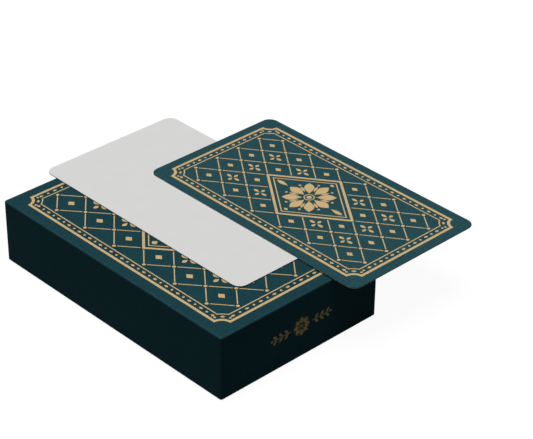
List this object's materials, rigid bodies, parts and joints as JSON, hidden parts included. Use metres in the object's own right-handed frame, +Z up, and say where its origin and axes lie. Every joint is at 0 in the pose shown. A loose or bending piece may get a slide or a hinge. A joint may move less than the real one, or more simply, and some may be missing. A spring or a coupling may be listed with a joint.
{
  "type": "boxed card deck",
  "caption": "Deck of blank oracle cards with printed backs in a rigid lift-off-lid box, with loose cards lying on the lid, one blank face up and one back up.",
  "frame": {"origin": "centre of the box's underside, on the surface that the box stands on", "axes": "+X along the box's length towards its right end, +Y across it towards the back, +Z up through the lid"},
  "size_m": [0.151, 0.1277, 0.03],
  "materials": {
    "greyboard": "raw grey pulp board",
    "box_wrap": "deep teal printed paper, matte laminate",
    "liner_paper": "uncoated white paper",
    "card_stock": "smooth white card, teal printed back",
    "gold_print": "matte metallic gold ink on the lid and the card backs"
  },
  "bodies": {
    "base": {"base_sheet": "box_wrap", "base_floor_board": "greyboard", "base_front_board": "greyboard", "base_back_board": "greyboard", "base_left_board": "greyboard", "base_right_board": "greyboard", "base_wrap": "box_wrap", "base_liner": "liner_paper"},
    "lower_deck": {"card_01": "card_stock", "card_02": "card_stock", "card_03": "card_stock", "card_04": "card_stock", "card_05": "card_stock", "card_06": "card_stock", "card_07": "card_stock", "card_08": "card_stock", "card_09": "card_stock", "card_10": "card_stock", "card_11": "card_stock", "card_12": "card_stock", "card_13": "card_stock", "card_14": "card_stock", "card_15": "card_stock", "card_16": "card_stock", "card_17": "card_stock", "card_18": "card_stock", "card_19": "card_stock", "card_20": "card_stock", "card_21": "card_stock"},
    "upper_deck": {"card_22": "card_stock", "card_23": "card_stock", "card_24": "card_stock", "card_25": "card_stock", "card_26": "card_stock", "card_27": "card_stock", "card_28": "card_stock", "card_29": "card_stock", "card_30": "card_stock", "card_31": "card_stock", "card_32": "card_stock", "card_33": "card_stock", "card_34": "card_stock", "card_35": "card_stock", "card_36": "card_stock", "card_37": "card_stock", "card_38": "card_stock", "card_39": "card_stock", "card_40": "card_stock", "card_41": "card_stock"},
    "top_card": {"card_42": "card_stock"},
    "lid": {"lid_top_board": "greyboard", "lid_front_board": "greyboard", "lid_back_board": "greyboard", "lid_left_board": "greyboard", "lid_right_board": "greyboard", "lid_wrap": "box_wrap", "lid_liner": "liner_paper"},
    "blank_card": {"blank_card": "card_stock"},
    "back_card": {"back_card": "card_stock"}
  },
  "joints": [
    {"name": "deck_lift", "type": "slide", "parent": "base", "child": "lower_deck", "axis": [0, 0, 1], "range_m": [0, 0.028]},
    {"name": "deck_cut", "type": "slide", "parent": "lower_deck", "child": "upper_deck", "axis": [0, 0, 1], "range_m": [0, 0.018]},
    {"name": "top_card_draw", "type": "slide", "parent": "upper_deck", "child": "top_card", "axis": [0, 0, 1], "range_m": [0, 0.01]},
    {"name": "lid_lift", "type": "slide", "parent": "top_card", "child": "lid", "axis": [0, 0, 1], "range_m": [0, 0.03]},
    {"name": "blank_card_lift", "type": "slide", "parent": "lid", "child": "blank_card", "axis": [0, 0, 1], "range_m": [0, 0.012]},
    {"name": "back_card_lift", "type": "slide", "parent": "blank_card", "child": "back_card", "axis": [0, 0, 1], "range_m": [0, 0.012]}
  ]
}
